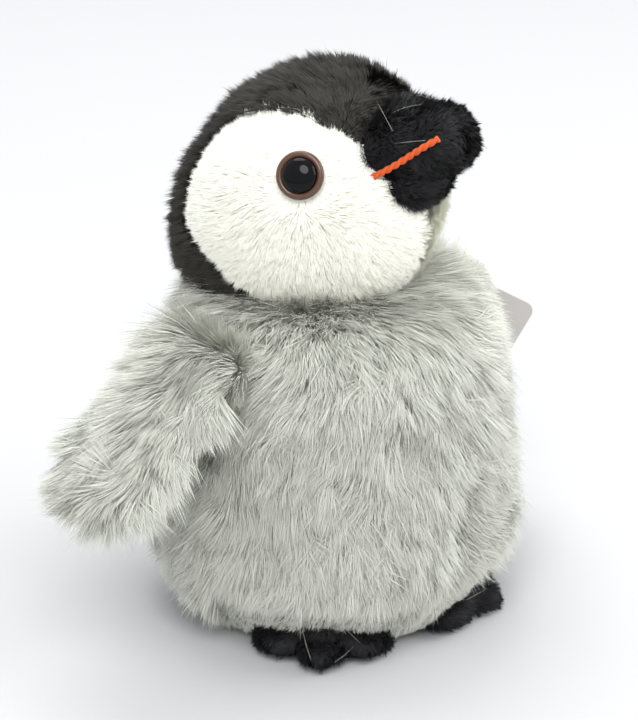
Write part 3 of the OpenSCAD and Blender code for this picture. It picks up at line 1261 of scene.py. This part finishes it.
    def face_comb(self, p: Array, n: Array, q: Array) -> Comb:
        """The face's pile spreads out from the middle of each cheek."""
        from_cheek = q - np.stack(
            [np.sign(q[:, 0]) * 25, -14 + 0 * q[:, 1], 10 + 0 * q[:, 2]], axis=1
        )
        way = self.world_way(unit(from_cheek)) + 0.35 * wave_vector(51, 9.0, p)
        way[:, 2] -= 0.25
        comb = Comb.plain(along_skin(way, n))
        chin = np.exp(-((q[:, 0] / 1.6) ** 2)) * (q[:, 2] < 8)
        y, z = q[:, 1] - self.face_middle[0], q[:, 2] - self.face_middle[1]
        edge = self.face_radius - np.where(y > 0, np.hypot(y, z), 0.0)
        edge = np.where(y > 0, edge, self.brow(q) - q[:, 2])
        edge = np.minimum(edge, q[:, 2] - self.nape[0] - self.nape[1] * q[:, 1])
        seam = 1 - smooth(edge, 0.0, 5.0)
        comb.lift = (1 + 0.12 * Waves(53, 8.0)(p)) * (1 - 0.45 * chin) * (1 + 0.45 * seam)
        comb.length = (1 - 0.2 * chin) * (1 - 0.4 * seam)
        # Painted shade: the fibres are darker along the seam down the middle of the chin, where
        # shade falls between the cheeks.
        comb.shade = -0.5 * chin
        return comb


@dataclass
class Beak:
    """The short black beak; sizes in mm, in the head's own frame."""

    head: Head
    lobes: tuple[tuple[tuple[float, float, float], tuple[float, float, float]], ...] = (
        ((0.0, -37.6, 25.2), (9.5, 8.7, 8.3)),
        ((0.0, -28.5, 22.4), (13.5, 10.6, 10.6)),
        ((0.0, -29.8, 14.4), (11.4, 8.6, 7.8)),
        ((0.0, -24.5, 21.0), (15.6, 7.6, 9.6)),
    )
    mouth_in: tuple[float, float, float] = (16.0, -24.6, 15.6)
    mouth_out: tuple[float, float, float] = (8.3, -42.4, 28.6)
    thread: float = 1.6

    def gap(self, q: Array) -> Array:
        """About how far points in the head's own frame are from the beak."""
        return np.min(
            [
                (np.linalg.norm((q - middle) / np.array(radii), axis=1) - 1) * np.mean(radii)
                for middle, radii in self.lobes
            ],
            axis=0,
        )

    def cover(self) -> bpy.types.Object:
        """The beak's filled cover."""
        bm = bmesh.new()
        for middle, radii in self.lobes:
            ball(bm, middle, radii)
        bmesh.ops.transform(bm, matrix=self.head.matrix, verts=bm.verts)
        beak = from_bmesh("beak_cover", bm)
        Stuffing(voxel=1.3, cap=0.5, evening=12).fill(beak, lambda p: p)
        beak.data.materials.append(BLACK_BACKING.material())
        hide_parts("beak_left", "beak_right", "beak_stuffing")
        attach(beak, "head")
        return beak

    def mouth(self, side: Side, tree: BVHTree, lift: float, steps: int = 24) -> Array:
        """A mouth line's points on the beak.

        Args:
            side: which side of the beak.
            tree: the beak's surface, in mm.
            lift: height over the surface.
            steps: number of points.

        Returns:
            The points in mm, from the inner end to the outer one.
        """
        mirror = np.array([side.value, 1, 1])
        a, b = np.array(self.mouth_in) * mirror, np.array(self.mouth_out) * mirror
        points = []
        for t in np.linspace(0, 1, steps):
            spot = self.head.matrix @ Vector(a + (b - a) * t)
            near, normal, _, _ = tree.find_nearest(spot)
            points.append(np.array(near + normal * lift))
        for _ in range(6):
            points[1:-1] = [(p + q + r) / 3 for p, q, r in zip(points, points[1:], points[2:])]
        return np.array(points)

    def stitch(self, side: Side, path: Array) -> None:
        """One mouth line of two plies twisted together."""
        curve = bpy.data.curves.new(f"mouth_{side.word}", "CURVE")
        curve.dimensions = "3D"
        curve.bevel_depth = 0.33 * self.thread * MM
        curve.bevel_resolution = 3
        curve.use_fill_caps = True
        coarse, close = np.linspace(0, 1, len(path)), np.linspace(0, 1, 90)
        fine = np.stack([np.interp(close, coarse, path[:, i]) for i in range(3)], axis=1)
        ahead = unit(np.gradient(fine, axis=0))
        out = unit(fine - np.array(self.head.matrix @ Vector((0, -30, 22))))
        beside = unit(np.cross(ahead, out))
        out = np.cross(beside, ahead)
        turn = np.linspace(0, 2 * math.pi * 5.5, len(fine))[:, None]
        for half in (0.0, math.pi):
            round_way = np.cos(turn + half) * beside + np.sin(turn + half) * out
            ply = fine + 0.24 * self.thread * round_way
            spline = curve.splines.new("POLY")
            spline.points.add(len(ply) - 1)
            for point, spot in zip(spline.points, ply):
                point.co = (*(spot * MM), 1.0)
        thread = bpy.data.objects.new(f"mouth_{side.word}", curve)
        bpy.context.scene.collection.objects.link(thread)
        yarn = Yarn("orange_yarn", (0.72, 0.115, 0.008), (0.50, 0.055, 0.005))
        curve.materials.append(yarn.material())
        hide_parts(f"mouth_stitch_{side.word}")
        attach(thread, "head")

    def build(self) -> None:
        """Make the beak's cover, pile and mouth lines."""
        beak = self.cover()
        skin = Skin.of(beak)
        tree = BVHTree.FromPolygons(skin.points.tolist(), skin.triangles.tolist())
        paths = {side: self.mouth(side, tree, 1.5) for side in Side}
        for side, path in paths.items():
            self.stitch(side, path)
        lint("beak_lint", skin, 640, "head")
        planter = Planter(VELVET, 600)
        roots, normals = skin.roots(VELVET.per_mm2, planter.rng)
        way = self.head.world_way(np.array([[0.0, -1.0, 0.1]])) + 0.5 * wave_vector(61, 6.0, roots)
        comb = Comb.plain(along_skin(way, normals))
        q = self.head.local(roots)
        comb.keep = self.head_depth(q) > 0.97
        spots = [spot for path in paths.values() for spot in path[::2]]
        gap = np.min([np.linalg.norm(roots - spot, axis=1) for spot in spots], axis=0)
        near = 1 - smooth(gap, 1.8, 3.4)
        comb.length = (1 + 0.12 * Waves(63, 4.0)(roots)) * (1 - 0.65 * near)
        comb.lift = 1 - 0.5 * near
        pile = planter.plant("beak_pile", roots, normals, comb)
        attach(pile, "head")

    def head_depth(self, q: Array) -> Array:
        """Where points are against the head's egg: 1 on its surface, less inside."""
        axis = self.head.axis
        along = q @ axis
        across = np.linalg.norm(q - along[:, None] * axis, axis=1)
        return np.hypot(along / self.head.half_length, across / self.head.radius)


@dataclass
class Eyes:
    """Both plastic eyes; sizes in mm, heights over the skin."""

    head: Head
    iris: float = 6.1
    pupil: float = 4.5
    back: float = 1.1
    rim: float = 2.5
    dome: float = 2.2
    shank: float = 1.7
    shank_end: float = -8.0

    def place(self, name: str, bm: bmesh.types.BMesh, side: Side) -> bpy.types.Object:
        """Set a spun eye piece in its place."""
        bmesh.ops.transform(bm, matrix=self.head.eye_frame(side), verts=bm.verts)
        return from_bmesh(name, bm)

    def build(self) -> None:
        """Make each eye's iris and pupil."""
        brown = Plastic("iris_brown", (0.060, 0.025, 0.013), (0.105, 0.050, 0.030), 0.25, 0.2)
        black = Plastic(
            "pupil_black", (0.002, 0.002, 0.002), (0.004, 0.004, 0.005), 0.05, gloss=0.15
        )
        for side in Side:
            r, p, low, high = self.iris, self.pupil, self.back, self.rim
            ring = [(0, self.shank_end), (self.shank, self.shank_end), (self.shank, low)]
            ring += [(r - 0.4, low), (r - 0.1, low + 0.15)]
            ring += [(r, low + 0.5), (r - 0.12, high - 0.45), (r - 0.5, high - 0.12)]
            ring += [(r - 0.9, high), (p + 0.12, high - 0.12), (p, high - 0.5), (0, high - 0.6)]
            iris = self.place(f"iris_{side.word}_ring", lathe(ring, 64), side)
            dome = [(0.0, high - 0.55), (p - 0.05, high - 0.5)]
            for i in range(13):
                t = math.radians(90 * i / 12)
                dome.append(((p - 0.05) * math.cos(t), high - 0.3 + self.dome * math.sin(t)))
            pupil = self.place(f"pupil_{side.word}_dome", lathe(dome, 64), side)
            for obj, finish, node, slot in (
                (iris, brown, "iris", "brown_iris"),
                (pupil, black, "pupil", "black_pupil"),
            ):
                obj.data.materials.append(finish.material())
                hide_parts(f"{node}_{side.word}")
                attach(obj, "head")


# ---------------------------------------------------------------- flippers


class TagSide:
    """The space on the penguin's side of the hanging card, where the pile has to stay."""

    gap: float = 0.8
    reach: float = 20.0

    def __init__(self) -> None:
        """Read the card's shape and which way it faces."""
        card = Skin.of(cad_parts["tag_card"])
        self.tree = BVHTree.FromPolygons(card.points.tolist(), card.triangles.tolist())
        a, b, c = (card.points[card.triangles[:, i]] for i in range(3))
        normals = np.cross(b - a, c - a)
        facing = normals[np.argmax(np.linalg.norm(normals, axis=1))]
        self.middle = card.points.mean(axis=0)
        self.way = unit(facing * np.sign(facing @ (self.middle * np.array([1, 1, 0]))))

    def keep(self, p: Array) -> Array:
        """Move points that are in the card or beyond it back to its near side."""
        p = p.copy()
        way = Vector(self.way)
        for i in np.flatnonzero((p - self.middle) @ self.way > -self.gap):
            start = p[i] - self.reach * self.way
            far = self.reach + self.gap
            hit, _, _, _ = self.tree.ray_cast(Vector(start), way, far)
            if hit is not None:
                p[i] = np.array(hit) - self.gap * self.way
        return p


@dataclass
class Flipper:
    """One flipper, hanging from its shoulder hinge; sizes in mm."""

    side: Side
    lift: float
    back: float = 0.0
    short: float = 1.0
    shoulder: tuple[float, float, float] = (41.0, 0.0, 84.0)
    root: tuple[float, float, float] = (-6.0, -6.0, 16.0)
    tip: tuple[float, float, float] = (-7.0, -35.0, 15.0)
    thick: float = 7.0

    @property
    def matrix(self) -> Matrix:
        """The flipper's own frame: X outwards, Z up along the blade to the hinge."""
        s = self.side.value
        turn = Matrix.Rotation(math.radians(s * self.back), 4, "Z")
        at = Matrix.Translation((s * self.shoulder[0], self.shoulder[1], self.shoulder[2]))
        return turn @ at @ Matrix.Rotation(math.radians(-s * self.lift), 4, "Y")

    def local(self, p: Array) -> Array:
        """Points in the flipper's own frame."""
        m = np.array(self.matrix.inverted())
        return p @ m[:3, :3].T + m[:3, 3]

    def cover(self) -> bpy.types.Object:
        """The flipper's filled cover."""
        bm = bmesh.new()
        ring = []
        inner = -self.thick / 2 + 1.0
        for (y, z, r), angles in ((self.root, (0, 180)), (self.tip, (180, 360))):
            for i in range(19):
                t = math.radians(angles[0] + (angles[1] - angles[0]) * i / 18)
                height = min(z + (r - 0.6) * math.sin(t), 1.0)
                ring.append(bm.verts.new((inner, y + (r - 0.6) * math.cos(t), height)))
        face = bm.faces.new(ring)
        made = bmesh.ops.extrude_face_region(bm, geom=[face])["geom"]
        bmesh.ops.translate(
            bm,
            verts=[v for v in made if isinstance(v, bmesh.types.BMVert)],
            vec=(self.thick - 2.0, 0, 0),
        )
        bmesh.ops.transform(bm, matrix=self.matrix, verts=bm.verts)
        word = self.side.word
        blade = from_bmesh(f"flipper_{word}_cover", bm)
        Stuffing(voxel=1.8, cap=2.0).fill(blade, lambda p: p)
        blade.data.materials.append(GREY_BACKING.material())
        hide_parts(f"flipper_{word}_outer", f"flipper_{word}_inner")
        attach(blade, f"flipper_{word}")
        return blade

    def comb(self, p: Array, n: Array) -> Comb:
        """The pile spreads from a crown near the shoulder and runs down to the tip."""
        q = self.local(p)
        m = np.array(self.matrix)[:3, :3]
        beside = np.clip((q[:, 1] + 6.0) / 16, -1.2, 1.2)
        over = self.side.value * 0.9 * smooth(q[:, 2], -10, 2)
        way = np.stack([over, 0.45 * beside, -1 + 0 * beside], axis=1) @ m.T
        way = way + 0.36 * wave_vector(71, 14.0, p) + 0.42 * wave_vector(77, 6.0, p)
        comb = Comb.plain(along_skin(way, n))
        inner = smooth(-(n @ m[:, 0]) * self.side.value, 0.2, 0.7)
        thin = 1 - (1 - self.short) * smooth(-q[:, 1], 2, 16)
        comb.length = (1.05 - 0.4 * inner) * thin
        comb.lift = (1.0 + 0.25 * Waves(73, 8.0)(p)) * (1 - 0.4 * inner) * thin
        # Painted light: the whole flipper's pile is paler, as it faces up into the light, and
        # paler still near the shoulder, to lift the shade in the corner where it meets the body.
        comb.shade = 0.45 + 0.3 * smooth(q[:, 2], -14, 0)
        return comb

    def build(self) -> None:
        """Make the flipper's cover and pile."""
        skin = Skin.of(self.cover())
        planter = Planter(LONG, 500 + self.side.value)
        roots, normals = skin.roots(LONG.per_mm2 * 1.2, planter.rng)
        pile = planter.plant(
            f"flipper_{self.side.word}_pile",
            roots,
            normals,
            self.comb(roots, normals),
            TagSide().keep if self.side is Side.LEFT else None,
        )
        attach(pile, f"flipper_{self.side.word}")


# ---------------------------------------------------------------- tag and hidden pieces


@dataclass
class Trim:
    """The CAD nodes that keep their shapes and get finishes."""

    def build(self) -> None:
        """Dress the card, its fastener, the washers and the pouch."""
        nylon = Plastic("nylon", (0.80, 0.80, 0.78), (0.88, 0.88, 0.86), 0.35).material()
        finishes = {
            "tag_card": Card("tag_board", (0.50, 0.475, 0.455)).material(),
            "tag_fastener": nylon,
            "eye_washer_left": nylon,
            "eye_washer_right": nylon,
            "pellet_pouch": Backing("pouch_cloth", (0.72, 0.68, 0.58)).material(),
        }
        for node, material in finishes.items():
            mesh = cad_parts[node].data
            mesh.materials.clear()
            mesh.materials.append(material)


# ---------------------------------------------------------------- studio


@dataclass
class Studio:
    """The floor, the lights and the camera; the camera's distances in mm."""

    azimuth: float = -34.0
    elevation: float = 24.0
    distance: float = 650.0
    lens: float = 122.5
    aim: tuple[float, float, float] = (0.0, 6.0, 66.0)

    def camera(self) -> None:
        """Set the camera at the penguin's right front, looking down at it."""
        a, e = math.radians(self.azimuth), math.radians(self.elevation)
        back = Vector((math.sin(a) * math.cos(e), -math.cos(a) * math.cos(e), math.sin(e)))
        data = bpy.data.cameras.new("camera")
        data.lens = self.lens
        data.clip_start, data.clip_end = 0.01, 20.0
        camera = bpy.data.objects.new("camera", data)
        bpy.context.scene.collection.objects.link(camera)
        camera.location = (Vector(self.aim) + back * self.distance) * MM
        camera.rotation_euler = back.to_track_quat("Z", "Y").to_euler()
        bpy.context.scene.camera = camera

    def lamp(self, name: str, place: Sequence[float], size: float, power: float) -> None:
        """Add a round soft light aimed at the penguin; the place and size are in metres."""
        data = bpy.data.lights.new(name, "AREA")
        data.shape, data.size, data.energy = "DISK", size, power
        lamp = bpy.data.objects.new(name, data)
        bpy.context.scene.collection.objects.link(lamp)
        lamp.location = place
        aim = Vector((0, 0, 0.07)) - Vector(place)
        lamp.rotation_euler = aim.to_track_quat("-Z", "Y").to_euler()

    def build(self) -> None:
        """Make the studio."""
        self.camera()
        bm = bmesh.new()
        bmesh.ops.create_grid(bm, x_segments=8, y_segments=8, size=3000.0)
        floor = from_bmesh("floor", bm)
        floor.data.materials.append(Ground((0.535, 0.535, 0.540)).material())
        world = bpy.data.worlds.new("studio")
        world.use_nodes = True
        background = world.node_tree.nodes["Background"]
        background.inputs["Color"].default_value = (0.95, 0.97, 1.0, 1.0)
        background.inputs["Strength"].default_value = 0.95
        bpy.context.scene.world = world
        self.lamp("key", (-0.55, -0.75, 1.1), 0.8, 13.0)
        self.lamp("fill", (0.9, -0.6, 0.6), 0.9, 8.0)
        self.lamp("top", (0.1, 0.5, 1.2), 0.9, 8.0)
        bpy.context.scene.view_settings.view_transform = "Standard"


def main() -> None:
    """Build every sub-assembly in order."""
    logging.basicConfig(level=logging.INFO, format="%(message)s", stream=sys.stdout)
    Studio().build()
    feet = Feet()
    head = Head()
    beak = Beak(head)
    builders = (
        ("feet", feet.build),
        ("body", Body(feet).build),
        ("head", lambda: head.build(beak)),
        ("beak", beak.build),
        ("eyes", Eyes(head).build),
        ("right flipper", Flipper(Side.RIGHT, 47.0).build),
        ("left flipper", Flipper(Side.LEFT, 17.0, back=20.0, short=0.4).build),
        ("trim", Trim().build),
    )
    for name, build in builders:
        build()
        LOG.info("built the %s", name)


if __name__ == "__main__":
    main()
